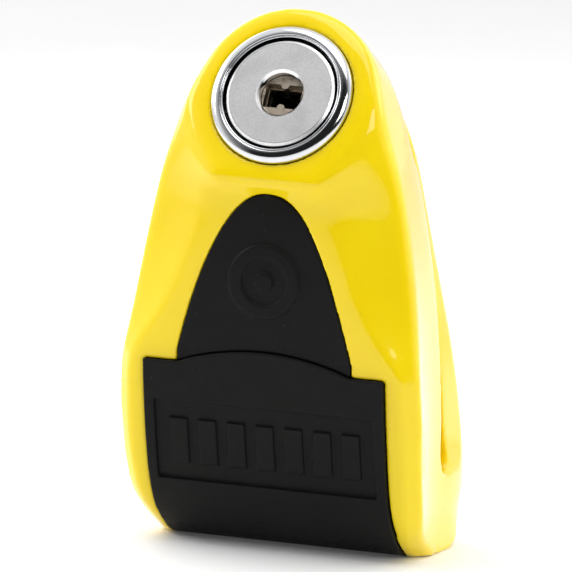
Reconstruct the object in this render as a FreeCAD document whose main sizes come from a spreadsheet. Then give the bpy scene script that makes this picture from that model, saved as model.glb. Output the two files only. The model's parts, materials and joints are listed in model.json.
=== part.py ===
import FreeCAD, Part
import math
import os

# Disc brake lock, millimetres. X is across the lock, Y runs from the front to the back,
# Z is up from the foot. Y = 0 is the middle of the disc slot.
# The lock cylinder and its bolt share one tilted axis. Parts on it are drawn in their own
# frame: local Z goes into the casing, local X is the lock's X, the face of the lock is Z = 0.

doc = FreeCAD.newDocument("disc_brake_lock")
V = FreeCAD.Vector

# ---------------------------------------------------------------- sizes
SIZES = [
    # the tilted lock axis
    ("face_y", -25.0), ("face_z", 82.1), ("face_tilt", 28.0),
    # casing
    ("head_r", 17.3), ("slot_width", 7.0), ("slot_bottom_z", 13.8),
    ("leadin_x", 18.0), ("leadin_z", 68.5),
    # front covers
    ("cover_depth", 3.0), ("cover_gap", 0.1), ("band_proud", 0.8), ("band_half", 22.6),
    ("band_top_z", 33.8), ("band_bottom_z", 0.5), ("arch_half", 16.3), ("arch_top_z", 65.0),
    ("panel_half", 20.6), ("panel_low_z", 12.0), ("panel_high_z", 26.6), ("relief_step", 0.7),
    ("rib_pitch", 5.4), ("rib_half", 1.7), ("rib_low_z", 15.2), ("rib_high_z", 23.4),
    ("emblem_z", 49.5), ("emblem_r", 6.6), ("emblem_bore_r", 4.2), ("emblem_dot_r", 1.7),
    # bores on the lock axis
    ("sleeve_seat_r", 11.52), ("sleeve_seat_end", 17.2), ("bush_r", 7.5), ("front_bush_end", 19.6),
    ("bolt_hole_r", 5.3), ("rear_bush_end", 40.0),
    # lock cylinder
    ("barrel_r", 10.3), ("face_proud", 1.15), ("barrel_end", 16.5), ("keyhole_r", 4.0),
    ("plug_r", 5.25), ("plug_bore_r", 5.32), ("plug_end", 12.0), ("bolt_r", 5.0),
    ("bolt_head_r", 6.0), ("bolt_tip", 36.5), ("spring_orbit", 8.05), ("spring_pocket_r", 1.6),
    ("travel", 13.2), ("ledge", 1.0), ("bezel_r", 13.0), ("bezel_bore_r", 10.45), ("sleeve_r", 11.5),
    ("sleeve_bore_r", 10.36), ("dog_half", 2.0), ("dog_start", 14.2), ("dog_end", 15.9),
    ("dog_reach", 11.3), ("crank_r", 1.2), ("crank_pin_r", 0.75), ("wafer_pitch", 1.9),
    ("wafer_thick", 1.0), ("screw_shank_r", 1.5), ("screw_head_r", 2.75), ("stop_pin_r", 0.75),
    ("wire_r", 0.22), ("coil_r", 1.2), ("stop_pin_z", 1.9), ("bolt_pin_r", 0.75),
    ("bolt_pin_z", 15.2), ("drill_pin_r", 0.8), ("keyway_width", 6.8), ("keyway_height", 4.4),
    ("wafer_window", 3.9),
]
sheet = doc.addObject("Spreadsheet::Sheet", "sizes")
for row, (alias, value) in enumerate(SIZES, start=1):
    sheet.set("A%d" % row, alias)
    sheet.set("B%d" % row, str(value))
    sheet.setAlias("B%d" % row, alias)
doc.recompute()


def size(alias):
    return float(sheet.get(alias))


TILT = math.radians(size("face_tilt"))
FACE = V(0, size("face_y"), size("face_z"))
INTO = V(0, math.cos(TILT), -math.sin(TILT))
AXIS = FreeCAD.Placement(FACE, FreeCAD.Rotation(V(1, 0, 0), -90 - size("face_tilt")))
HOME = FreeCAD.Placement()


def bind(obj, **sizes):
    """Binds properties of an object to expressions on the sheet's cells."""
    for prop, text in sizes.items():
        words = []
        for word in text.split():
            known = any(word == alias for alias, _ in SIZES)
            words.append("sizes." + word if known else word)
        obj.setExpression(prop, " ".join(words))
    return obj


def cylinder(name, radius, height, x="0", y="0", z="0", axis="z"):
    """A cylinder whose radius, height and start are sheet expressions."""
    obj = doc.addObject("Part::Cylinder", name)
    if axis == "x":
        obj.Placement = FreeCAD.Placement(V(0, 0, 0), FreeCAD.Rotation(V(0, 1, 0), 90))
    bind(obj, Radius=radius, Height=height)
    bind(obj, **{"Placement.Base.x": x, "Placement.Base.y": y, "Placement.Base.z": z})
    return obj


def box(name, length, width, height, x="0", y="0", z="0"):
    obj = doc.addObject("Part::Box", name)
    bind(obj, Length=length, Width=width, Height=height)
    bind(obj, **{"Placement.Base.x": x, "Placement.Base.y": y, "Placement.Base.z": z})
    return obj


def cone(name, low, high, height, z="0"):
    obj = doc.addObject("Part::Cone", name)
    bind(obj, Radius1=low, Radius2=high, Height=height)
    bind(obj, **{"Placement.Base.z": z})
    return obj


def cut(name, base, tool):
    obj = doc.addObject("Part::Cut", name)
    obj.Base = base
    obj.Tool = tool
    return obj


def fuse(name, *shapes):
    obj = doc.addObject("Part::MultiFuse", name)
    obj.Shapes = list(shapes)
    return obj


def common(name, *shapes):
    obj = doc.addObject("Part::MultiCommon", name)
    obj.Shapes = list(shapes)
    return obj


def compound(name, *shapes):
    obj = doc.addObject("Part::Compound", name)
    obj.Links = list(shapes)
    return obj


NODES = []


def node(obj, label, placement=HOME):
    obj.Label = label
    obj.Placement = placement
    NODES.append(obj)
    return obj


def feature(name, shape):
    """A shape that the primitives can't give, made with Part functions from the sheet's sizes."""
    obj = doc.addObject("Part::Feature", name)
    obj.Shape = shape
    return obj


# ---------------------------------------------------------------- the casing's outer form
def spline(points, start=None, end=None):
    curve = Part.BSplineCurve()
    if start is None:
        curve.interpolate(points)
    else:
        curve.interpolate(Points=points, InitialTangent=start, FinalTangent=end)
    return curve.toShape()


def section(y, half_points):
    """A closed outline across the lock at one depth, symmetric about X = 0, reaching below the foot."""
    right = [V(x, y, z) for x, z in half_points]
    left = [V(-x, y, z) for x, z in half_points]
    side = spline(right, V(1, 0, 0), V(-1, 0, 0))
    other = spline(left, V(-1, 0, 0), V(1, 0, 0))
    other.reverse()
    base = Part.makeLine(left[0], right[0])
    return Part.Wire([base, side, other])


# half-widths and heights of the outline at five depths, each starting below the foot
BROW_OUTLINE = [(29.5, -2), (31.4, 2.2), (31.9, 8.5), (31.8, 16), (31.7, 26), (30.8, 36), (29.6, 47.5),
                (27.4, 60), (24.9, 71), (22.0, 80), (18.2, 87.5), (11.0, 95), (0, 98.5)]
FRONT_OUTLINE = [(27.0, -2), (28.8, 2.2), (29.1, 8.5), (28.9, 16), (28.6, 26), (27.7, 36), (26.4, 47.5),
                 (24.3, 60), (21.7, 71), (18.9, 80), (15.5, 87.5), (9.2, 93.8), (0, 96.2)]
SLOT_OUTLINE = [(24.6, -2), (25.3, 3.0), (25.4, 8.5), (25.3, 16), (24.9, 26), (24.1, 36), (22.8, 47),
                (20.8, 58), (18.4, 68), (16.5, 75), (13.7, 81.6), (7.9, 87.8), (0, 90.1)]
REAR_OUTLINE = [(21.8, -2), (22.7, 3.0), (23.1, 8.5), (23.1, 15), (22.0, 24), (20.3, 33), (18.1, 42),
                (15.8, 50.5), (13.6, 58.5), (11.2, 66), (8.0, 72), (4.3, 76), (0, 77.3)]
BACK_OUTLINE = [(12.0, -2), (15.0, 4.0), (16.5, 10), (16.8, 17), (16.1, 24), (14.9, 32), (13.4, 40),
                (11.7, 47.5), (9.8, 54), (7.7, 60), (5.4, 64.5), (2.9, 67.5), (0, 68.6)]
FRONT_PROFILE = [(-10.0, 0), (-12.2, 0.8), (-14.8, 2.35), (-18.3, 5.2), (-21.2, 8.9), (-24.4, 17),
                 (-26.9, 27), (-28.6, 37), (-29.5, 46), (-29.8, 56), (-29.6, 64.8)]
BACK_PROFILE = [(5.5, 0), (11.0, 3.0), (14.4, 7.0), (17.2, 12.0), (19.4, 18.5), (20.5, 27), (20.4, 37),
                (19.8, 48), (18.4, 59), (15.5, 69), (10.2, 78.5), (3.5, 85.8), (-3.5, 92.5),
                (-12, 98.5), (-24, 105)]
# the rear arm is narrower than the front one; its outline where it faces the slot
REAR_ARM = [(24.6, 13.8), (23.5, 18), (22.4, 27), (21.2, 35.5), (19.6, 44), (18.0, 52), (16.8, 60),
            (15.5, 68), (13.2, 74.5), (9.4, 80.6), (4.6, 84.6), (0, 86)]
# a scoop runs down each side of the front and ends as a bevel on the low corner; each level gives
# height, inner X and Y, outer X and Y, and how hollow it is (0.5 is flat)
SCOOP = [(86, 18.4, -22.9, 22.4, -22.5, 0.50), (83, 17.9, -24.4, 19.9, -23.2, 0.50),
         (80, 17.4, -25.9, 19.5, -23.9, 0.51), (76, 15.7, -28.1, 20.7, -24.2, 0.53),
         (72, 13.4, -30.2, 22.0, -24.3, 0.56), (68, 11.3, -31.4, 23.1, -24.4, 0.58),
         (64, 11.6, -29.9, 24.1, -24.4, 0.58), (60, 12.4, -29.8, 24.9, -24.4, 0.58),
         (55, 13.9, -29.8, 25.7, -24.4, 0.58), (50, 15.7, -29.7, 26.4, -24.4, 0.57),
         (45, 18.0, -29.5, 27.1, -24.4, 0.56), (40, 21.2, -29.1, 27.8, -24.5, 0.54),
         (35, 24.6, -28.4, 28.5, -24.6, 0.51), (28, 25.6, -27.1, 29.1, -23.7, 0.50),
         (20, 25.9, -25.2, 29.3, -21.8, 0.50), (14, 25.7, -23.3, 29.4, -19.8, 0.50),
         (8.5, 24.8, -21.2, 28.8, -17.2, 0.50), (4, 23.8, -17.2, 28.0, -12.2, 0.50),
         (0, 22.8, -12.0, 27.2, -5.0, 0.50), (-3, 22.0, -8.0, 26.4, -1.0, 0.50)]
FLANK_SLOPE = 0.36
# planes well clear of the lock, where cutting tools start and stop
AHEAD = -45.0
BESIDE = 40.0


def head_prism():
    """Looking along the lock axis: a round head with straight flanks that widen downwards."""
    radius = size("head_r")
    lean = math.atan(FLANK_SLOPE)
    touch = V(radius * math.cos(lean), -radius * math.sin(lean), 0)
    foot = V(touch.x + FLANK_SLOPE * 130, touch.y + 130, 0)
    crown = Part.Arc(touch, V(0, -radius, 0), V(-touch.x, touch.y, 0)).toShape()
    edges = [crown, Part.makeLine(V(-touch.x, touch.y, 0), V(-foot.x, foot.y, 0)),
             Part.makeLine(V(-foot.x, foot.y, 0), foot), Part.makeLine(foot, touch)]
    prism_shape = Part.Face(Part.Wire(edges)).extrude(V(0, 0, 120))
    prism_shape.Placement = AXIS
    return prism_shape


def scoop():
    """The cutter for one side's scoop, lofted through level sections from the head downwards."""
    rings = []
    for z, inner_x, inner_y, outer_x, outer_y, hollow in SCOOP:
        inner = V(inner_x, inner_y, z)
        outer = V(outer_x, outer_y, z)
        waist = V(inner_x + 0.5 * (outer_x - inner_x), inner_y + (hollow + 0.004) * (outer_y - inner_y), z)
        rings.append(Part.Wire([Part.Arc(inner, waist, outer).toShape(),
                                Part.makeLine(outer, V(BESIDE, outer_y, z)),
                                Part.makeLine(V(BESIDE, outer_y, z), V(BESIDE, AHEAD, z)),
                                Part.makeLine(V(BESIDE, AHEAD, z), V(inner_x - 2.0, AHEAD, z)),
                                Part.makeLine(V(inner_x - 2.0, AHEAD, z), inner)]))
    return Part.makeLoft(rings, True, False)


def outer_form():
    """The U-shaped casing as one solid lump, before the slot and bores."""
    sections = [section(-36, BROW_OUTLINE), section(-24, FRONT_OUTLINE), section(-3.5, SLOT_OUTLINE),
                section(14, REAR_OUTLINE), section(21, BACK_OUTLINE)]
    lump = Part.makeLoft(sections, True, False)
    front = [V(-BESIDE, y, z) for y, z in FRONT_PROFILE]
    back = [V(-BESIDE, y, z) for y, z in BACK_PROFILE]
    top = V(-BESIDE, -29.4, 108)
    ledge_lip = V(-BESIDE, -34.2, 68.8)
    brow = V(-BESIDE, -34.2, 108)
    edges = [Part.makeLine(front[0], back[0]), spline(back), Part.makeLine(back[-1], top),
             Part.makeLine(top, brow), Part.makeLine(brow, ledge_lip),
             Part.makeLine(ledge_lip, front[-1]), spline(list(reversed(front)))]
    side = Part.Face(Part.Wire(edges)).extrude(V(2 * BESIDE, 0, 0))
    head = Part.makeCylinder(size("head_r") + 0.3, 22, V(0, 0, -6), V(0, 0, 1))
    head.Placement = AXIS
    lump = lump.common(side).fuse(head.common(side)).common(head_prism())
    cutter = scoop()
    lump = lump.cut(cutter).cut(cutter.mirror(V(0, 0, 0), V(1, 0, 0)))

    arm = [V(x, 0, z) for x, z in REAR_ARM]
    other = [V(-x, 0, z) for x, z in REAR_ARM]
    crown_left = spline(other, V(-0.3, 0, 1), V(1, 0, 0))
    crown_left.reverse()
    outline = Part.Wire([spline(arm, V(-0.3, 0, 1), V(-1, 0, 0)), crown_left,
                         Part.makeLine(other[0], V(-BESIDE, 0, 11)),
                         Part.makeLine(V(-BESIDE, 0, 11), V(-BESIDE, 0, -5)),
                         Part.makeLine(V(-BESIDE, 0, -5), V(BESIDE, 0, -5)),
                         Part.makeLine(V(BESIDE, 0, -5), V(BESIDE, 0, 11)),
                         Part.makeLine(V(BESIDE, 0, 11), arm[0])])
    rear = Part.Face(outline).extrude(V(0, 40, 0))
    front_half = Part.makeBox(120, 60, 140, V(-60, -60, -10))
    lump = lump.common(rear.fuse(front_half))
    lump = lump.removeSplitter()
    return lump


form = outer_form()


def prism(points, near, far):
    """A front outline drawn in X and Z, extruded from depth near to depth far."""
    wire = Part.makePolygon([V(x, near, z) for x, z in points + points[:1]])
    return Part.Face(wire).extrude(V(0, far - near, 0))


def mirrored(half):
    return half + [(-x, z) for x, z in reversed(half) if x > 0]


def moved(shape, y):
    copy = shape.copy()
    copy.translate(V(0, y, 0))
    return copy


ARCH_STEPS = 18
ARCH_POWER = 2.22


def arch_outline(grow):
    """The upper cover's outline: a tall rounded arch standing on the band."""
    half = size("arch_half") + grow
    top = size("arch_top_z") + grow
    foot = size("band_top_z") - 4
    spring_z = size("band_top_z") + 2.2
    ring = [(half, foot)]
    for step in range(ARCH_STEPS + 1):
        across = math.cos(math.radians(90.0 * step / ARCH_STEPS)) if step < ARCH_STEPS else 0.0
        ring.append((half * across, spring_z + (top - spring_z) * (1 - across ** ARCH_POWER)))
    return mirrored(ring)


def band_outline(grow):
    """The lower cover's outline, with its top edge raised in a shallow arc between two ears."""
    half = size("band_half") + grow
    top = size("band_top_z") + grow
    low = size("band_bottom_z") - grow
    ring = [(half - 0.6, low), (half - 0.2, 6.0), (half, 20.0), (half, top)]
    ring.append((size("arch_half") - 0.2, top))
    for step in range(1, 9):
        x = (size("arch_half") - 0.2) * (1 - step / 8.0)
        ring.append((x, top + 3.0 * (1 - (x / size("arch_half")) ** 2)))
    return mirrored(ring)


inner_form = moved(form, size("cover_depth"))
proud_form = moved(form, -size("band_proud"))
gap = size("cover_gap")

# ---------------------------------------------------------------- casing
arch_hollow = prism(arch_outline(gap), AHEAD, -20)
band_hollow = prism(band_outline(gap), AHEAD, -8)
cover_hollow = arch_hollow.fuse(band_hollow).cut(moved(form, size("cover_depth") + gap))

slot_half = size("slot_width") / 2
slot_tool = Part.makeBox(90, 2 * slot_half, 120, V(-45, -slot_half, size("slot_bottom_z") + slot_half))
slot_round = Part.makeCylinder(slot_half, 90, V(-45, 0, size("slot_bottom_z") + slot_half), V(1, 0, 0))
slot_tool = slot_tool.fuse(slot_round)
for sign in (1, -1):
    lead = Part.makeBox(80, 80, 30, V(-40, -40, 0))
    corner = V(sign * size("leadin_x"), -slot_half, size("leadin_z"))
    lead.Placement = FreeCAD.Placement(corner, FreeCAD.Rotation(V(0, 0, 1), V(sign * 0.6, 0.7, 0.33)))
    slot_tool = slot_tool.fuse(lead.common(Part.makeBox(90, 60, 80, V(-45, -60, 40))))


def on_axis(radius, start, end):
    """A cylinder on the lock axis between two depths below the face."""
    return Part.makeCylinder(radius, end - start, FACE + INTO * start, INTO)


def at_axis(right, down, depth):
    """The lock position of a point given in the tilted frame."""
    return AXIS.multVec(V(right, down, depth))


bores = on_axis(size("bezel_r") + 0.05, -6, size("ledge"))
bores = bores.fuse(on_axis(size("sleeve_seat_r"), -6, size("sleeve_seat_end")))
bores = bores.fuse(on_axis(size("bush_r") + 0.02, 10, size("front_bush_end")))
bores = bores.fuse(on_axis(size("bolt_hole_r"), 10, 34))
rear_seat = on_axis(size("bush_r") + 0.02, 26, size("rear_bush_end"))
bores = bores.fuse(rear_seat)

SCREWS = [(-13.0, 22.0), (13.0, 22.0), (0.0, 50.0)]
screw_r = size("screw_shank_r")
head_r = size("screw_head_r")
screw_holes = []
for x, z in SCREWS:
    screw_holes.append(Part.makeCylinder(screw_r + 0.1, 24, V(x, -slot_half, z), V(0, -1, 0)))
    screw_holes.append(Part.makeCylinder(head_r + 0.15, 3.4, V(x, -slot_half + 0.1, z), V(0, -1, 0)))

stop_hole = Part.makeCylinder(size("stop_pin_r") + 0.02, 6, at_axis(-9.6, 0, size("stop_pin_z")), V(-1, 0, 0))

casing = form.cut(slot_tool)
casing = casing.cut(cover_hollow)
casing = casing.cut(bores)
for hole in screw_holes:
    casing = casing.cut(hole)
casing = casing.cut(stop_hole)
casing = casing.removeSplitter()
node(feature("casing", casing), "casing")

# ---------------------------------------------------------------- covers and their screws
band = prism(band_outline(0), AHEAD, -8).common(proud_form).cut(inner_form)
panel_edge = [(size("panel_half"), size("panel_low_z")), (size("panel_half"), size("panel_high_z"))]
panel_tool = prism(mirrored(panel_edge), AHEAD, -18).cut(form)
band = band.cut(panel_tool)
rib_tools = []
for step in range(-3, 4):
    near = step * size("rib_pitch") - size("rib_half")
    far = step * size("rib_pitch") + size("rib_half")
    rib = [(near, size("rib_low_z")), (far, size("rib_low_z")), (far, size("rib_high_z")),
           (near, size("rib_high_z"))]
    rib_tools.append(prism(rib, AHEAD, -18))
ribs = rib_tools[0]
for tool in rib_tools[1:]:
    ribs = ribs.fuse(tool)
ribs = ribs.common(moved(form, -size("relief_step") + 0.05)).cut(moved(form, 1.5))
band = band.fuse(ribs)

arch = prism(arch_outline(0), AHEAD, -20).common(form).cut(inner_form)
arch = arch.cut(prism(band_outline(gap), AHEAD, -8))
emblem = V(0, AHEAD, size("emblem_z"))
ring_relief = Part.makeCylinder(size("emblem_r"), 30, emblem, V(0, 1, 0))
ring_relief = ring_relief.cut(Part.makeCylinder(size("emblem_bore_r"), 30, emblem, V(0, 1, 0)))
ring_relief = ring_relief.fuse(Part.makeCylinder(size("emblem_dot_r"), 30, emblem, V(0, 1, 0)))
ring_relief = ring_relief.common(moved(form, -0.5)).cut(moved(form, 1.0))
arch = arch.fuse(ring_relief)


def solid_front(x, z):
    """Depth of the casing's front surface at one point of the front view."""
    ray = Part.makeLine(V(x, -60, z), V(x, -5, z))
    hits = ray.common(form)
    return hits.BoundBox.YMin


screw_shapes = []
for x, z in SCREWS:
    floor = solid_front(x, z) + size("cover_depth")
    tip = floor - 1.8
    start = -slot_half - 3.2
    shank = Part.makeCylinder(screw_r, start - tip, V(x, tip, z), V(0, 1, 0))
    head = Part.makeCylinder(head_r, 2.6, V(x, start, z), V(0, 1, 0))
    socket = Part.makePolygon([V(x + 1.45 * math.cos(math.radians(60 * k)), start + 2.6,
                                 z + 1.45 * math.sin(math.radians(60 * k))) for k in range(7)])
    socket = Part.Face(socket).extrude(V(0, -1.5, 0))
    screw = shank.fuse(head).cut(socket).removeSplitter()
    screw_shapes.append(screw)
    pilot = Part.makeCylinder(screw_r, 30, V(x, tip - 0.1, z), V(0, 1, 0))
    band = band.cut(pilot)
    arch = arch.cut(pilot)
band = band.removeSplitter()
arch = arch.removeSplitter()
node(feature("band_cover", band), "band_cover")
node(feature("arch_insert", arch), "arch_insert")
node(feature("cover_screws", Part.makeCompound(screw_shapes)), "cover_screws")

# ---------------------------------------------------------------- fixed parts on the lock axis
bezel_corner = V(size("bezel_r"), 0, 0.6)
bezel_inner = V(size("bezel_bore_r"), 0, 0.6)
bezel_rim = V(size("bezel_r"), 0, -0.1)
bezel_crest = V(11.3, 0, -1.35)
bezel_throat = V(size("bezel_bore_r"), 0, -0.75)
bezel_edges = [Part.makeLine(bezel_inner, bezel_corner), Part.makeLine(bezel_corner, bezel_rim),
               Part.Arc(bezel_rim, V(12.35, 0, -1.0), bezel_crest).toShape(),
               Part.Arc(bezel_crest, V(10.75, 0, -1.2), bezel_throat).toShape(),
               Part.makeLine(bezel_throat, bezel_inner)]
bezel = Part.Face(Part.Wire(bezel_edges)).revolve(V(0, 0, 0), V(0, 0, 1), 360)
node(feature("bezel_ring", bezel), "bezel_ring", AXIS)

gasket = cut("bezel_gasket", cylinder("gasket_disc", "bezel_r - 0.1", "ledge - 0.66", z="0.63"),
             cylinder("gasket_bore", "bezel_bore_r", "3"))
node(gasket, "bezel_gasket", AXIS)

sleeve_wall = cylinder("sleeve_wall", "sleeve_r", "sleeve_seat_end - ledge - 0.02", z="ledge")
sleeve_bore = cylinder("sleeve_bore", "sleeve_bore_r", "sleeve_seat_end + 2", z="0 - 0.5")
dog_window = box("dog_window", "sleeve_r + 2", "dog_half * 2 + 0.4", "dog_end - ledge + 0.5",
                 y="0 - dog_half - 0.2", z="ledge - 0.2")
sleeve_pin_hole = cylinder("sleeve_pin_hole", "stop_pin_r + 0.02", "6", x="0 - 14", z="stop_pin_z",
                           axis="x")
sleeve_cut = fuse("sleeve_cut", sleeve_bore, dog_window, sleeve_pin_hole)
node(cut("guide_sleeve", sleeve_wall, sleeve_cut), "guide_sleeve", AXIS)

# a dowel across the sleeve stops the barrel from leaving it
stop_dowel = cylinder("stop_dowel", "stop_pin_r", "3.8", x="0 - 13.25", z="stop_pin_z", axis="x")
node(compound("stop_pin", stop_dowel), "stop_pin", AXIS)

front_bush = cut("front_bush", cylinder("front_bush_wall", "bush_r", "front_bush_end - sleeve_seat_end",
                                        z="sleeve_seat_end"),
                 cylinder("front_bush_bore", "bolt_r + 0.06", "40"))
node(front_bush, "front_bush", AXIS)

rear_cup = on_axis(size("bush_r"), 26, size("rear_bush_end") - 0.02)
rear_cup = rear_cup.cut(on_axis(size("bolt_r") + 0.2, 20, size("rear_bush_end") - 2.5))
behind_slot = Part.makeBox(60, 60, 120, V(-30, slot_half + 0.2, 0))
node(feature("rear_bush", rear_cup.common(behind_slot)), "rear_bush")

# ---------------------------------------------------------------- barrel
barrel_wall = cylinder("barrel_wall", "barrel_r", "barrel_end + face_proud - 0.45", z="0.45 - face_proud")
barrel_rim = cone("barrel_rim", "barrel_r - 0.9", "barrel_r - 0.15", "0.45", z="0 - face_proud")
barrel_blank = fuse("barrel_blank", barrel_wall, barrel_rim)
PIN_ANGLE = 135
barrel_cuts = [
    cylinder("keyhole", "keyhole_r", "4", z="0 - 2"),
    cone("keyhole_rim", "keyhole_r + 0.5", "keyhole_r", "0.5", z="0 - face_proud"),
    cylinder("plug_bore", "plug_bore_r", "plug_end", z="1.2"),
    cylinder("clip_groove", "plug_bore_r + 0.6", "0.8", z="plug_end + 0.05"),
    cylinder("head_bore", "bolt_head_r + 0.05", "6", z="plug_end + 0.85"),
    cylinder("pocket_low", "spring_pocket_r", "20", y="spring_orbit", z="2.2"),
    cylinder("pocket_high", "spring_pocket_r", "20", y="0 - spring_orbit", z="2.2"),
    box("stop_groove", "3", "stop_pin_r * 2 + 0.1", "travel + stop_pin_r * 2 + 0.1",
        x="0 - barrel_r - 1.9", y="0 - stop_pin_r - 0.05", z="stop_pin_z - stop_pin_r - 0.05"),
    box("dog_slot", "barrel_r + 1", "dog_half * 2 + 0.1", "dog_end - dog_start + 0.1",
        y="0 - dog_half - 0.05", z="dog_start - 0.05"),
]


def radial_pin(name, radius, length, angle, start, depth):
    """A pin lying along a radius of the lock axis."""
    pin = Part.makeCylinder(radius, length, V(start, 0, depth), V(1, 0, 0))
    pin.rotate(V(0, 0, 0), V(0, 0, 1), angle)
    return feature(name, pin)


for step, angle in enumerate((PIN_ANGLE, PIN_ANGLE + 180)):
    barrel_cuts.append(radial_pin("bolt_pin_hole_%d" % step, size("bolt_pin_r") + 0.01, 8, angle, 4.4,
                                  size("bolt_pin_z")))
DRILL_PIN_ANGLES = (45, 225)
for step, angle in enumerate(DRILL_PIN_ANGLES):
    rod = Part.makeCylinder(size("drill_pin_r") + 0.01, 17, V(7.75, 0, 1.2))
    rod.rotate(V(0, 0, 0), V(0, 0, 1), angle)
    barrel_cuts.append(feature("drill_pin_hole_%d" % step, rod))
node(cut("barrel", barrel_blank, fuse("barrel_cuts", *barrel_cuts)), "barrel", AXIS)

drill_rods = []
for angle in DRILL_PIN_ANGLES:
    rod = Part.makeCylinder(size("drill_pin_r"), 11, V(7.75, 0, 1.2))
    rod.rotate(V(0, 0, 0), V(0, 0, 1), angle)
    drill_rods.append(rod)
node(feature("drill_pins", Part.makeCompound(drill_rods)), "drill_pins", AXIS)

# ---------------------------------------------------------------- plug, wafers, clip and crank
plug_body = cylinder("plug_body", "plug_r", "plug_end - 1.3", z="1.25")
plug_nose = cylinder("plug_nose", "keyhole_r - 0.08", "1", z="0.6")
plug_blank = fuse("plug_blank", plug_body, plug_nose)
keyway = box("keyway", "keyway_width", "keyway_height", "20", x="0 - keyway_width / 2",
             y="0 - keyway_height / 2", z="0 - 2")
wards = [cylinder("ward_%d" % k, "0.75", "20", y=where, z="0 - 2")
         for k, where in enumerate(("keyway_height / 2", "0 - keyway_height / 2"))]
plug_cuts = [cut("keyway_section", keyway, fuse("wards", *wards))]
WAFER_DROPS = (0.25, -0.3, 0.1, -0.15, 0.3)
wafer_shapes = []
for k, drop in enumerate(WAFER_DROPS):
    start = 2.3 + k * size("wafer_pitch")
    thick = size("wafer_thick")
    slot = Part.makeBox(7.9, 9.2, thick + 0.1, V(-3.95, -3.1, start - 0.05))
    plug_cuts.append(feature("wafer_slot_%d" % k, slot))
    plate = Part.makeBox(7.8, 6.0, thick, V(-3.9, -3.0, start))
    opening = size("wafer_window")
    window = Part.makeBox(6.5, opening, thick + 1, V(-3.25, drop - opening / 2, start - 0.5))
    wafer_shapes.append(plate.cut(window))
node(cut("plug", plug_blank, fuse("plug_cuts", *plug_cuts)), "plug", AXIS)
node(feature("wafers", Part.makeCompound(wafer_shapes)), "wafers", AXIS)

clip_ring = cylinder("clip_ring", "plug_bore_r + 0.55", "0.7", z="plug_end + 0.1")
clip_gap = box("clip_gap", "8", "2.2", "2", y="0 - 1.1", z="plug_end - 0.5")
clip_cut = fuse("clip_cut", cylinder("clip_bore", "plug_r - 0.7", "3", z="plug_end - 1"), clip_gap)
node(cut("plug_clip", clip_ring, clip_cut), "plug_clip", AXIS)

cam_disc = cylinder("cam_disc", "plug_r - 0.85", "1.1", z="plug_end")
cam_tongue = box("cam_tongue", "5.8", "1.4", "2", x="0 - 2.9", y="0 - 0.7", z="plug_end - 1.4")
crank_x = "crank_r * 0.70711"
crank_pin = cylinder("crank_pin", "crank_pin_r", "2.9", x=crank_x, y=crank_x, z="plug_end + 0.9")
node(fuse("cam", cam_disc, cam_tongue, crank_pin), "cam", AXIS)

# ---------------------------------------------------------------- latch dog and bolt
dog_blank = box("dog_blank", "dog_reach + 3.3", "dog_half * 2", "dog_end - dog_start", x="0 - 3.3",
                y="0 - dog_half", z="dog_start")
dog_round = cylinder("dog_round", "dog_reach", "30")
dog_notch = box("dog_notch", "crank_pin_r * 2 + 0.24", "4", "6",
                x="crank_r * 0.70711 - crank_pin_r - 0.12", y="0 - 0.1", z="dog_start - 2")
node(cut("latch_dog", common("dog_plate", dog_blank, dog_round), dog_notch), "latch_dog", AXIS)

bolt_head = cylinder("bolt_head", "bolt_head_r", "barrel_end - plug_end - 1.3", z="plug_end + 1.3")
bolt_shank = cylinder("bolt_shank", "bolt_r", "bolt_tip - barrel_end - 1", z="barrel_end - 0.5")
bolt_nose = cone("bolt_nose", "bolt_r", "bolt_r - 1.4", "1.5", z="bolt_tip - 1.5")
bolt_blank = fuse("bolt_blank", bolt_head, bolt_shank, bolt_nose)
bolt_cuts = [
    box("dog_channel", "14", "dog_half * 2 + 0.1", "dog_end - dog_start + 0.1", x="0 - 5.2",
        y="0 - dog_half - 0.05", z="dog_start - 0.05"),
    cylinder("crank_opening", "crank_r + crank_pin_r + 0.2", "3", z="plug_end + 1"),
]
for step, angle in enumerate((PIN_ANGLE, PIN_ANGLE + 180)):
    bolt_cuts.append(radial_pin("bolt_pin_seat_%d" % step, size("bolt_pin_r") + 0.01, 8, angle, 4.4,
                                size("bolt_pin_z")))
node(cut("bolt", bolt_blank, fuse("bolt_cuts", *bolt_cuts)), "bolt", AXIS)

pin_rods = []
for angle in (PIN_ANGLE, PIN_ANGLE + 180):
    rod = Part.makeCylinder(size("bolt_pin_r"), 5.4, V(4.45, 0, size("bolt_pin_z")), V(1, 0, 0))
    rod.rotate(V(0, 0, 0), V(0, 0, 1), angle)
    pin_rods.append(rod)
node(feature("bolt_pins", Part.makeCompound(pin_rods)), "bolt_pins", AXIS)


def coil(centre_y, start, end):
    """A round-wire compression spring parallel to the lock axis."""
    wire = size("wire_r")
    length = end - start - 2 * wire
    path = Part.makeHelix(length / 11.0, length, size("coil_r"))
    profile = Part.Wire([Part.makeCircle(wire, V(size("coil_r"), 0, 0), V(0, 1, 0))])
    spring = Part.Wire(path).makePipeShell([profile], True, True)
    spring.translate(V(0, centre_y, start + wire))
    return spring


springs = [coil(side * size("spring_orbit"), 2.25, size("sleeve_seat_end") - 0.05) for side in (1, -1)]
node(feature("return_springs", Part.makeCompound(springs)), "return_springs", AXIS)

# ---------------------------------------------------------------- check and write
doc.recompute()
os.makedirs("parts", exist_ok=True)
for obj in doc.Objects:
    bad = [state for state in obj.State if state in ("Invalid", "Error")]
    if bad:
        raise RuntimeError("%s is %s" % (obj.Name, bad))
for obj in NODES:
    if obj.Shape.isNull() or not obj.Shape.isValid():
        raise RuntimeError("%s has a bad shape" % obj.Label)
    obj.Shape.exportStep("parts/%s.step" % obj.Label)
    print(obj.Label, len(obj.Shape.Solids), round(obj.Shape.Volume, 2))
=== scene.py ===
import json
import math

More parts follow.
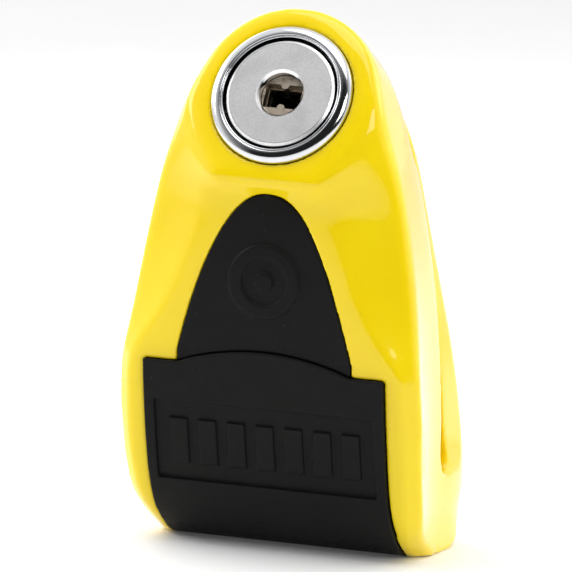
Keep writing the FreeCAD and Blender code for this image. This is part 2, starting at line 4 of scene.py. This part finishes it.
import bpy
import numpy as np
from mathutils import Matrix, Vector
from mathutils.bvhtree import BVHTree


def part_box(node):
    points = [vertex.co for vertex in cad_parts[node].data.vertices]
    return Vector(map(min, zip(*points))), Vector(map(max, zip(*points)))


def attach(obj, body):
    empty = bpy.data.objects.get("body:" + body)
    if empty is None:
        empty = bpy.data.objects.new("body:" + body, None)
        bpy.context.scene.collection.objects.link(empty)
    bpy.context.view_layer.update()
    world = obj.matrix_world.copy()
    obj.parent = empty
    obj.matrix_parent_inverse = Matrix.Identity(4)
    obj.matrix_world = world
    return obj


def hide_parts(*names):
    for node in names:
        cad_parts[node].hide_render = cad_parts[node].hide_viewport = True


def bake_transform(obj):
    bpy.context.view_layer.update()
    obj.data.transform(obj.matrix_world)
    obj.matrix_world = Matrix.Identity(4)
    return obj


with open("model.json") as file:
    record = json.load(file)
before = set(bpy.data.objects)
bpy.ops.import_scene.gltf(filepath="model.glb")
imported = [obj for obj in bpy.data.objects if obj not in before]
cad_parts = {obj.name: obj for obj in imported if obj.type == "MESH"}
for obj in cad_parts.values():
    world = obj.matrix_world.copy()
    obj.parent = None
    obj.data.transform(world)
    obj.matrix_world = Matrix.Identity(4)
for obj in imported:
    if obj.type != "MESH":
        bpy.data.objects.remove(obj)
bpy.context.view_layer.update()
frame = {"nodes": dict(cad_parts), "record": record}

mm = 0.001
SCENE = bpy.context.scene

# the lock axis, as in the CAD: it enters the flat face at FACE and runs along INTO
TILT = math.radians(28.0)
FACE = Vector((0, -25.0, 82.1)) * mm
INTO = Vector((0, math.cos(TILT), -math.sin(TILT)))
RIGHT = Vector((1, 0, 0))
DOWN = INTO.cross(RIGHT)
LOCK = Matrix.Translation(FACE) @ Matrix((RIGHT, DOWN, INTO)).transposed().to_4x4()

RECORD_BODIES = frame["record"]["behaviour"]["bodies"]
BODY_OF = {node: body for body, nodes in RECORD_BODIES.items() for node in nodes}

# radii about the lock axis and depths below the head's flat face, in metres
GAP_SHADE_R = 10.50 * mm
FACE_EDGE_R = 9.90 * mm
PAINTED_EDGE_LINE_R = 9.43 * mm
RIM_R = 9.88 * mm
KEYHOLE_RIM_R = 4.20 * mm
FACE_DEPTH = -0.70 * mm
RIM_DEPTH = -0.30 * mm
# the lower cover's lip under the lock: its height, front depth and half width
LIP_Z = 0.45 * mm
LIP_Y = -9.0 * mm
LIP_HALF = 22.1 * mm


# ------------------------------------------------------------------ materials
class Shader:
    """A node material: one Principled surface, and short calls that add and join nodes."""

    def __init__(self, name, **surface):
        self.material = bpy.data.materials.new(name)
        self.material.use_nodes = True
        self.tree = self.material.node_tree
        self.surface = self.tree.nodes["Principled BSDF"]
        self.place = self.add("ShaderNodeTexCoord").outputs["Object"]
        self.set(self.surface, surface)

    def add(self, kind, **settings):
        node = self.tree.nodes.new(kind)
        for key, value in settings.items():
            setattr(node, key, value)
        return node

    def set(self, node, values):
        for name, value in values.items():
            socket = node.inputs[name.replace("_", " ") if isinstance(name, str) else name]
            if isinstance(value, bpy.types.NodeSocket):
                self.tree.links.new(value, socket)
            else:
                socket.default_value = value
        return node

    def noise(self, scale, detail=3.0, place=None, stretch=None):
        place = place or self.place
        if stretch:
            place = self.set(self.add("ShaderNodeMapping"), {"Vector": place, "Scale": stretch}).outputs[0]
        node = self.add("ShaderNodeTexNoise")
        return self.set(node, {"Vector": place, "Scale": scale, "Detail": detail}).outputs["Fac"]

    def cells(self, scale, place=None):
        node = self.add("ShaderNodeTexVoronoi")
        return self.set(node, {"Vector": place or self.place, "Scale": scale}).outputs["Distance"]

    def ramp(self, value, low, high, start=0.0, end=1.0):
        """value between low and high becomes start to end."""
        node = self.add("ShaderNodeMapRange", clamp=True)
        socket = self.set(node, {"Value": value, "From_Min": low, "From_Max": high,
                                 "To_Min": start, "To_Max": end})
        return socket.outputs["Result"]

    def maths(self, operation, first, second=0.0, third=0.0):
        node = self.add("ShaderNodeMath", operation=operation)
        return self.set(node, {0: first, 1: second, 2: third}).outputs[0]

    def vector(self, operation, first, second=(0, 0, 0)):
        node = self.set(self.add("ShaderNodeVectorMath", operation=operation), {0: first, 1: second})
        return node.outputs["Value" if operation in ("DOT_PRODUCT", "LENGTH") else "Vector"]

    def mix(self, amount, first, second):
        node = self.add("ShaderNodeMix", data_type="RGBA")
        for name, value in (("Factor", amount), ("A", first), ("B", second)):
            kind = "VALUE" if name == "Factor" else "RGBA"
            socket = [s for s in node.inputs if s.name == name and s.type == kind][0]
            if isinstance(value, bpy.types.NodeSocket):
                self.tree.links.new(value, socket)
            else:
                socket.default_value = value
        return [s for s in node.outputs if s.type == "RGBA"][0]

    def bump(self, height, depth, strength=1.0, normal=None):
        node = self.add("ShaderNodeBump")
        self.set(node, {"Height": height, "Distance": depth, "Strength": strength})
        if normal:
            self.set(node, {"Normal": normal})
        return node.outputs["Normal"]

    def finish(self, **surface):
        self.set(self.surface, surface)
        return self.material

    def lock_polar(self):
        """Distance from the lock axis, and depth along it, both in metres."""
        away = self.vector("SUBTRACT", self.place, tuple(FACE))
        radius = self.vector("LENGTH", self.vector("CROSS_PRODUCT", away, tuple(INTO)))
        depth = self.vector("DOT_PRODUCT", away, tuple(INTO))
        return radius, depth


def grey(value, alpha=1.0):
    return (value, value, value, alpha)


def yellow_lacquer():
    """Thick glossy yellow lacquer: slight orange peel, faint clouding, a few dust nibs.

    The strip that carries on the lower cover's lip under the lock is black.
    """
    s = Shader("yellow_lacquer", Coat_IOR=1.5)
    clouds = s.ramp(s.noise(55, 2), 0.35, 0.65)
    colour = s.mix(clouds, (0.93, 0.675, 0.0045, 1), (0.96, 0.725, 0.0075, 1))
    nibs = s.ramp(s.cells(330), 0.035, 0.02)
    axes = s.set(s.add("ShaderNodeSeparateXYZ"), {0: s.place}).outputs
    lip = s.maths("MULTIPLY", s.ramp(axes[2], LIP_Z + 0.1 * mm, LIP_Z),
                  s.ramp(axes[1], LIP_Y + 0.5 * mm, LIP_Y))
    lip = s.maths("MULTIPLY", lip, s.ramp(s.maths("ABSOLUTE", axes[0]), LIP_HALF + 0.2 * mm, LIP_HALF))
    colour = s.mix(s.maths("MULTIPLY", nibs, 0.25), colour, (0.55, 0.36, 0.01, 1))
    colour = s.mix(lip, colour, grey(0.006))
    peel = s.maths("ADD", s.noise(620, 1), s.maths("MULTIPLY", s.noise(190, 1), 1.5))
    surface = s.bump(peel, 0.000006, 0.5)
    surface = s.bump(nibs, 0.00003, 0.5, surface)
    rough = s.ramp(s.noise(900, 4), 0.3, 0.7, 0.16, 0.26)
    return s.finish(Base_Color=colour, Roughness=rough, Normal=surface, Coat_Normal=surface,
                    Coat_Weight=s.ramp(lip, 0, 1, 0.78, 0.1),
                    Coat_Roughness=s.ramp(s.noise(260, 3), 0.3, 0.7, 0.02, 0.07),
                    Specular_IOR_Level=0.05)


def black_moulding():
    """Soft-touch black moulding with a fine spark-eroded grain and a little dust."""
    s = Shader("black_moulding")
    grain = s.noise(3400, 3)
    pores = s.cells(5200)
    colour = s.mix(s.noise(140, 4), grey(0.0055), grey(0.0085))
    dust = s.ramp(s.noise(2100, 6), 0.735, 0.80)
    colour = s.mix(s.maths("MULTIPLY", dust, 0.35), colour, grey(0.30))
    height = s.maths("ADD", grain, s.maths("MULTIPLY", pores, 0.6))
    surface = s.bump(height, 0.00003, 0.55)
    rough = s.ramp(s.noise(700, 4), 0.3, 0.7, 0.40, 0.52)
    return s.finish(Base_Color=colour, Roughness=rough, Normal=surface, Specular_IOR_Level=0.11)


def chrome():
    """Bright plating with hairline polishing marks round the axis, tiny pits, and painted shade: the
    bore's inner edge is coloured near black, as shade in the gap round the cylinder.
    """
    s = Shader("chrome", Metallic=1.0)
    radius, depth = s.lock_polar()
    rings = s.noise(9000, 2, s.set(s.add("ShaderNodeCombineXYZ"), {0: radius, 1: depth}).outputs[0])
    pits = s.ramp(s.cells(900), 0.06, 0.03)
    colour = s.mix(s.noise(420, 5), (0.74, 0.75, 0.77, 1), (0.60, 0.61, 0.63, 1))
    patches = s.ramp(s.noise(500, 3), 0.2, 0.5, 0.75, 1.0)
    # painted shade: inside this radius the ring's colour goes to near black in uneven patches, as shade in
    # the gap round the cylinder
    gap_shade = s.maths("MULTIPLY", s.ramp(radius, GAP_SHADE_R + 0.06 * mm, GAP_SHADE_R), patches)
    colour = s.mix(gap_shade, colour, grey(0.006))
    surface = s.bump(s.maths("SUBTRACT", rings, pits), 0.000004, 0.4)
    surface = s.bump(s.noise(300, 1), 0.00002, 0.35, surface)
    return s.finish(Base_Color=colour, Roughness=s.ramp(rings, 0.3, 0.7, 0.05, 0.13), Normal=surface)


def satin_nickel():
    """The cylinder: a fine-blasted face, a polished keyhole rim and side, and painted light: a thin dark
    line where the face's chamfer starts, and the outer rim coloured near black as shade in the gap round
    it.
    """
    s = Shader("satin_nickel", Metallic=1.0)
    radius, depth = s.lock_polar()
    face = s.maths("MULTIPLY", s.ramp(depth, FACE_DEPTH + 0.04 * mm, FACE_DEPTH),
                   s.ramp(radius, FACE_EDGE_R + 0.06 * mm, FACE_EDGE_R))
    face = s.maths("MULTIPLY", face, s.ramp(radius, KEYHOLE_RIM_R, KEYHOLE_RIM_R + 0.08 * mm))
    blast = s.noise(2600, 5)
    stains = s.ramp(s.noise(230, 6), 0.42, 0.70)
    marks = s.ramp(s.noise(2400, 2), 0.70, 0.78)
    colour = s.mix(stains, (0.97, 0.97, 0.975, 1), (0.84, 0.835, 0.835, 1))
    colour = s.mix(s.maths("MULTIPLY", marks, 0.5), colour, grey(0.25))
    colour = s.mix(s.ramp(blast, 0.35, 0.65, 0.0, 0.30), colour, grey(0.50))
    # painted reflection: a thin dark line round the face where its edge chamfer starts, standing for the
    # dark reflection seen along that edge
    line = s.maths("COMPARE", radius, PAINTED_EDGE_LINE_R, 0.05 * mm)
    colour = s.mix(s.maths("MULTIPLY", line, 0.7), colour, grey(0.12))
    colour = s.mix(face, (0.72, 0.72, 0.73, 1), colour)
    # painted shade: the outer rim near the face is coloured near black, as shade in the gap between
    # cylinder and ring
    rim = s.maths("MULTIPLY", s.ramp(radius, RIM_R, RIM_R + 0.1 * mm),
                  s.ramp(depth, RIM_DEPTH + 0.2 * mm, RIM_DEPTH))
    colour = s.mix(rim, colour, grey(0.006))
    rough = s.mix(face, grey(0.12), s.mix(blast, grey(0.30), grey(0.44)))
    surface = s.bump(blast, 0.00002, s.ramp(face, 0.0, 1.0, 0.08, 0.45))
    return s.finish(Base_Color=colour, Roughness=rough, Normal=surface)


def nickel_silver():
    """The plug: pale, slightly yellow, milled flat, with painted shade that darkens it deeper inside the
    keyway.
    """
    s = Shader("nickel_silver", Metallic=1.0)
    lines = s.noise(1500, 3, stretch=(0.15, 1, 1))
    colour = s.mix(lines, (0.66, 0.58, 0.47, 1), (0.50, 0.42, 0.33, 1))
    stains = s.ramp(s.noise(900, 5), 0.5, 0.72)
    colour = s.mix(s.maths("MULTIPLY", stains, 0.6), colour, (0.22, 0.17, 0.12, 1))
    depth = s.lock_polar()[1]
    # painted shade: the plug goes dark from 1.1 to 3 mm deep into the keyway
    colour = s.mix(s.ramp(depth, 1.1 * mm, 3.0 * mm), colour, (0.035, 0.028, 0.022, 1))
    return s.finish(Base_Color=colour, Roughness=s.ramp(lines, 0.3, 0.7, 0.30, 0.46),
                    Normal=s.bump(lines, 0.00001, 0.4))


def wafer_brass():
    """Stamped wafers: worn bright on the edges the key rubs, with painted shade that darkens them deeper
    in.
    """
    s = Shader("wafer_brass", Metallic=1.0)
    depth = s.lock_polar()[1]
    wear = s.ramp(s.noise(1800, 4), 0.35, 0.65)
    colour = s.mix(wear, (0.62, 0.55, 0.44, 1), (0.40, 0.34, 0.25, 1))
    # painted shade: the wafers go dark from 2.4 to 7 mm deep
    colour = s.mix(s.ramp(depth, 2.4 * mm, 7.0 * mm), colour, (0.05, 0.04, 0.03, 1))
    return s.finish(Base_Color=colour, Roughness=s.ramp(wear, 0, 1, 0.24, 0.42),
                    Normal=s.bump(wear, 0.00001, 0.4))


def brass():
    """Cast and turned brass, tarnished in the hollows."""
    s = Shader("brass", Metallic=1.0)
    tarnish = s.ramp(s.noise(420, 6), 0.4, 0.72)
    colour = s.mix(tarnish, (0.80, 0.56, 0.24, 1), (0.45, 0.28, 0.12, 1))
    turning = s.noise(2300, 2, stretch=(1, 0.2, 1))
    return s.finish(Base_Color=colour, Roughness=s.ramp(tarnish, 0, 1, 0.22, 0.42),
                    Normal=s.bump(turning, 0.000012, 0.4))


def hardened_steel():
    """Ground and hardened steel with grinding lines along the lock axis and faint heat tint."""
    s = Shader("hardened_steel", Metallic=1.0)
    depth = s.lock_polar()[1]
    rings = s.noise(2600, 3, s.set(s.add("ShaderNodeCombineXYZ"), {0: depth, 1: depth}).outputs[0])
    tint = s.ramp(s.noise(120, 3), 0.4, 0.65)
    colour = s.mix(tint, (0.60, 0.60, 0.61, 1), (0.50, 0.47, 0.44, 1))
    return s.finish(Base_Color=colour, Roughness=s.ramp(rings, 0.3, 0.7, 0.16, 0.32),
                    Normal=s.bump(rings, 0.00001, 0.5))


def spring_wire():
    """Drawn zinc-flashed wire."""
    s = Shader("spring_wire", Metallic=1.0)
    lines = s.noise(5200, 2, stretch=(1, 1, 0.1))
    return s.finish(Base_Color=s.mix(lines, (0.62, 0.63, 0.66, 1), (0.46, 0.47, 0.50, 1)),
                    Roughness=s.ramp(lines, 0.3, 0.7, 0.2, 0.36), Normal=s.bump(lines, 0.00001, 0.5))


def blacked_steel():
    """Oil-blacked screws: dark, with rubbed bright spots on the edges."""
    s = Shader("blacked_steel", Metallic=1.0)
    rub = s.ramp(s.noise(800, 5), 0.58, 0.75)
    colour = s.mix(rub, (0.035, 0.036, 0.04, 1), (0.22, 0.22, 0.23, 1))
    return s.finish(Base_Color=colour, Roughness=s.ramp(rub, 0, 1, 0.42, 0.28),
                    Normal=s.bump(s.noise(2600, 3), 0.00001, 0.5))


def sintered_bronze():
    """Self-oiling bush: grainy, with dark pores."""
    s = Shader("sintered_bronze", Metallic=1.0)
    pores = s.ramp(s.cells(2600), 0.10, 0.28)
    colour = s.mix(pores, (0.16, 0.09, 0.04, 1), (0.62, 0.38, 0.18, 1))
    return s.finish(Base_Color=colour, Roughness=s.ramp(pores, 0, 1, 0.6, 0.38),
                    Normal=s.bump(pores, 0.00003, 0.5))


def gasket_rubber():
    """Black sealing rubber with a dull bloom."""
    s = Shader("gasket_rubber")
    bloom = s.noise(500, 5)
    return s.finish(Base_Color=s.mix(bloom, grey(0.010), grey(0.028)), Roughness=0.72,
                    Normal=s.bump(s.noise(3800, 3), 0.00002, 0.6))


LACQUER = yellow_lacquer()
MOULDING = black_moulding()
CHROME = chrome()
NICKEL = satin_nickel()
SILVER = nickel_silver()
WAFER = wafer_brass()
BRASS = brass()
STEEL = hardened_steel()
WIRE = spring_wire()
BLACKED = blacked_steel()
BRONZE = sintered_bronze()
RUBBER = gasket_rubber()

FINISH = {"casing": LACQUER, "band_cover": MOULDING, "arch_insert": MOULDING, "cover_screws": BLACKED,
          "bezel_ring": CHROME, "bezel_gasket": RUBBER, "guide_sleeve": STEEL, "stop_pin": STEEL,
          "front_bush": BRONZE, "rear_bush": BRONZE, "barrel": NICKEL, "drill_pins": STEEL,
          "plug": SILVER, "wafers": WAFER, "plug_clip": STEEL, "cam": BRASS, "latch_dog": BRASS,
          "bolt": STEEL, "bolt_pins": STEEL, "return_springs": WIRE}


# ------------------------------------------------------------------ geometry helpers
def new_object(name, mesh):
    obj = bpy.data.objects.new(name, mesh)
    SCENE.collection.objects.link(obj)
    return obj


def points_of(mesh):
    flat = np.empty(len(mesh.vertices) * 3, np.float32)
    mesh.vertices.foreach_get("co", flat)
    return flat.reshape(-1, 3).astype(float)


def put_points(mesh, points):
    mesh.vertices.foreach_set("co", points.astype(np.float32).ravel())
    mesh.update()


def remeshed(node, voxel):
    """A copy of a CAD node as an even quad skin."""
    source = frame["nodes"][node]
    obj = new_object(node + "_blank", source.data.copy())
    modifier = obj.modifiers.new("skin", "REMESH")
    modifier.mode = "VOXEL"
    modifier.voxel_size = voxel
    graph = bpy.context.evaluated_depsgraph_get()
    mesh = bpy.data.meshes.new_from_object(obj.evaluated_get(graph))
    bpy.data.objects.remove(obj)
    return mesh


def relax(points, edges, weight, rounds):
    """Moves each point halfway to the mean of its neighbours, times its weight, for some rounds."""
    first, second = edges.T
    count = len(points)
    degree = np.bincount(first, minlength=count) + np.bincount(second, minlength=count)
    share = (0.5 * weight / np.maximum(degree, 1))[:, None]
    stay = (1.0 - 0.5 * weight)[:, None]
    for _ in range(rounds):
        total = np.empty_like(points)
        for k in range(3):
            column = points[:, k]
            total[:, k] = (np.bincount(first, column[second], count)
                           + np.bincount(second, column[first], count))
        points = points * stay + total * share
    return points


def edges_of(mesh):
    flat = np.empty(len(mesh.edges) * 2, np.int32)
    mesh.edges.foreach_get("vertices", flat)
    return flat.reshape(-1, 2)


def smooth_step(value, low, high):
    t = np.clip((value - low) / (high - low), 0, 1)
    return t * t * (3 - 2 * t)


def lock_polar(points):
    """Distance from the lock axis and depth along it, for each point."""
    away = points - np.array(FACE)
    depth = away @ np.array(INTO)
    radius = np.linalg.norm(away - depth[:, None] * np.array(INTO), axis=1)
    return radius, depth


def distance_to(nodes, points, reach):
    """How far each point is from some CAD nodes, up to reach."""
    best = np.full(len(points), reach)
    for node in nodes:
        mesh = frame["nodes"][node].data
        tree = BVHTree.FromPolygons([v.co for v in mesh.vertices], [p.vertices for p in mesh.polygons])
        low, high = (np.array(corner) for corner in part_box(node))
        near = np.all((points > low - reach) & (points < high + reach), axis=1)
        for index in np.nonzero(near)[0]:
            found = tree.find_nearest(points[index], float(best[index]))
            if found[3] is not None:
                best[index] = min(best[index], found[3])
    return best


def stand_for(node, obj, material):
    """The piece takes a node's place: it gets the material and the node's body, and the node is hidden."""
    obj.data.materials.clear()
    obj.data.materials.append(material)
    obj.data.shade_smooth()
    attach(obj, BODY_OF[node])
    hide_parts(node)


# ------------------------------------------------------------------ casing
# rounds of smoothing at a voxel of ROUNDS_VOXEL; other voxels take as many as reach equally far
RIDGE_ROUNDS = 260
ROUNDS_VOXEL = 0.25 * mm
# how much of that smoothing the low corners and the slot's edges get
LOW_CORNER_SHARE = 0.14
SLOT_EDGE_SHARE = 0.06


def casing_skin():
    """The casing with its outer ridges rounded and its seats for lock and covers kept crisp."""
    voxel = 0.32 * mm
    mesh = remeshed("casing", voxel)
    points = points_of(mesh)
    edges = edges_of(mesh)
    radius, depth = lock_polar(points)
    in_lock = smooth_step(radius, 13.3 * mm, 14.6 * mm)
    deep = smooth_step(depth, 1.5 * mm, 3.0 * mm)
    seat = 1 - (1 - in_lock) * (1 - deep)
    slot_edge = smooth_step(np.abs(points[:, 1]), 3.6 * mm, 4.6 * mm)
    slot_edge = SLOT_EDGE_SHARE + (1 - SLOT_EDGE_SHARE) * slot_edge
    high = smooth_step(points[:, 2], 30 * mm, 52 * mm)
    low_corner = LOW_CORNER_SHARE + (1 - LOW_CORNER_SHARE) * high
    cover = smooth_step(distance_to(("band_cover", "arch_insert"), points, 1.3 * mm), 0.35 * mm, 1.2 * mm)
    bores = smooth_step(radius, 11.9 * mm, 12.6 * mm)
    weight = seat * cover * bores * low_corner * slot_edge
    rounds = int(RIDGE_ROUNDS * (ROUNDS_VOXEL / voxel) ** 2)
    points = relax(points, edges, weight, rounds)
    points = relax(points, edges, np.full(len(points), 0.5), 8)
    put_points(mesh, points)
    stand_for("casing", new_object("casing_skin", mesh), LACQUER)


def cover_skin(node, rounds):
    """A moulded cover with every edge slightly rounded."""
    voxel = 0.15 * mm
    mesh = remeshed(node, voxel)
    points = relax(points_of(mesh), edges_of(mesh), np.ones(len(mesh.vertices)), rounds)
    put_points(mesh, points)
    stand_for(node, new_object(node + "_skin", mesh), MOULDING)


# ------------------------------------------------------------------ bezel
def lathe(name, profile, segments=256):
    """A closed profile of (radius, depth) in millimetres, turned about the lock axis."""
    ring = [LOCK @ Vector((r * math.cos(a) * mm, r * math.sin(a) * mm, z * mm))
            for a in (2 * math.pi * k / segments for k in range(segments)) for r, z in profile]
    count = len(profile)
    faces = []
    for k in range(segments):
        here, there = k * count, (k + 1) % segments * count
        for j in range(count):
            after = (j + 1) % count
            faces.append((here + j, here + after, there + after, there + j))
    mesh = bpy.data.meshes.new(name)
    mesh.from_pydata(ring, [], faces)
    mesh.update()
    return new_object(name, mesh)


def arc(centre, radii, start, end, steps):
    """Points along an ellipse arc, angles in degrees."""
    return [(centre[0] + radii[0] * math.cos(math.radians(start + (end - start) * k / steps)),
             centre[1] + radii[1] * math.sin(math.radians(start + (end - start) * k / steps)))
            for k in range(steps + 1)]


def bezel():
    """Domed chrome ring with a fine groove and a raised inner lip."""
    profile = [(12.98, 0.6)]
    profile += arc((11.20, 0.0), (1.78, 1.34), 0, -95, 24)
    profile += [(10.99, -1.18), (10.96, -1.10), (10.92, -1.12)]
    profile += arc((10.72, -1.00), (0.19, 0.24), -20, -150, 10)
    profile += [(10.50, -0.75), (10.46, -0.5), (10.46, 0.6)]
    stand_for("bezel_ring", lathe("bezel_turned", profile[::-1]), CHROME)


# ------------------------------------------------------------------ springs
def springs():
    """The springs lengthen as the cylinder slides out; here they are a smooth-shaded copy of the CAD node
    in spring wire, baked in place and not bent, and the CAD springs are hidden.
    """
    mesh = frame["nodes"]["return_springs"].data.copy()
    obj = new_object("springs_drawn", mesh)
    mesh.materials.clear()
    mesh.materials.append(WIRE)
    mesh.shade_smooth()
    depth = lock_polar(points_of(mesh))[1]
    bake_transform(obj)
    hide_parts("return_springs")


for node_name, material in FINISH.items():
    data = frame["nodes"][node_name].data
    data.materials.clear()
    data.materials.append(material)

casing_skin()
cover_skin("band_cover", 7)
cover_skin("arch_insert", 7)
bezel()
springs()


# ------------------------------------------------------------------ camera
def aim_camera():
    """A long lens, 20 degrees round to the right and 8 degrees up."""
    right = Vector((0.9338, 0.3550, 0.0448)).normalized()
    back = Vector((0.3454, -0.9270, 0.1459))
    back = (back - right * back.dot(right)).normalized()
    up = back.cross(right)
    distance = 1.6
    frame_width = 100.25 * mm
    lens = bpy.data.cameras.new("camera")
    lens.sensor_width = 36
    lens.lens = lens.sensor_width * distance / frame_width
    lens.clip_end = 10
    camera = bpy.data.objects.new("camera", lens)
    SCENE.collection.objects.link(camera)
    turn = Matrix((right, up, back)).transposed().to_4x4()
    target = Vector((3.80, -28.78, 49.10)) * mm
    camera.matrix_world = Matrix.Translation(target + back * distance) @ turn
    SCENE.camera = camera


# ------------------------------------------------------------------ stage and light
FLOOR_SIZE = 6.0


def floor():
    bpy.ops.mesh.primitive_plane_add(size=FLOOR_SIZE, location=(0, 0, 0))
    plane = bpy.context.object
    plane.name = "floor"
    s = Shader("white_paper", Roughness=0.55, Specular_IOR_Level=0.3)
    s.finish(Base_Color=s.mix(s.noise(30, 2), grey(0.90), grey(0.93)), Emission_Color=grey(1.0),
             Emission_Strength=0.05)
    plane.data.materials.append(s.material)


def softbox(name, place, size, power, aim=(0, 0, 0.05)):
    light = bpy.data.lights.new(name, "AREA")
    light.shape = "RECTANGLE"
    light.size, light.size_y = size
    light.energy = power
    obj = bpy.data.objects.new(name, light)
    SCENE.collection.objects.link(obj)
    obj.location = place
    obj.rotation_euler = (Vector(aim) - Vector(place)).to_track_quat("-Z", "Y").to_euler()
    obj.visible_camera = False


# name, place and size in metres, power in watts
SOFTBOXES = [("left_box", (-0.42, 0.26, 0.26), (0.42, 0.38), 1.3),
             ("right_box", (0.36, 0.40, 0.34), (0.40, 0.30), 0.6),
             ("fill_left", (-0.75, -0.18, 0.48), (0.35, 0.35), 1.8),
             ("fill_right", (0.60, -0.50, 0.52), (0.35, 0.35), 1.7),
             ("overhead", (0.05, -0.15, 0.95), (0.8, 0.6), 3.7)]


def studio():
    """A white tent, dark towards the front, with two softboxes behind, two fills and one overhead."""
    world = bpy.data.worlds.new("tent")
    SCENE.world = world
    world.use_nodes = True
    tree = world.node_tree
    background = tree.nodes["Background"]
    place = tree.nodes.new("ShaderNodeTexCoord").outputs["Generated"]
    toward = tree.nodes.new("ShaderNodeVectorMath")
    toward.operation = "DOT_PRODUCT"
    tree.links.new(place, toward.inputs[0])
    toward.inputs[1].default_value = Vector((0.30, -0.93, 0.12)).normalized()
    level = tree.nodes.new("ShaderNodeMapRange")
    tree.links.new(toward.outputs["Value"], level.inputs["Value"])
    for name, value in (("From Min", 0.20), ("From Max", 0.68), ("To Min", 1.06), ("To Max", 0.02)):
        level.inputs[name].default_value = value
    tree.links.new(level.outputs["Result"], background.inputs["Strength"])
    background.inputs["Color"].default_value = (1, 1, 1, 1)
    for name, light_place, light_size, power in SOFTBOXES:
        softbox(name, light_place, light_size, power)
    SCENE.view_settings.view_transform = "Standard"


aim_camera()
floor()
studio()
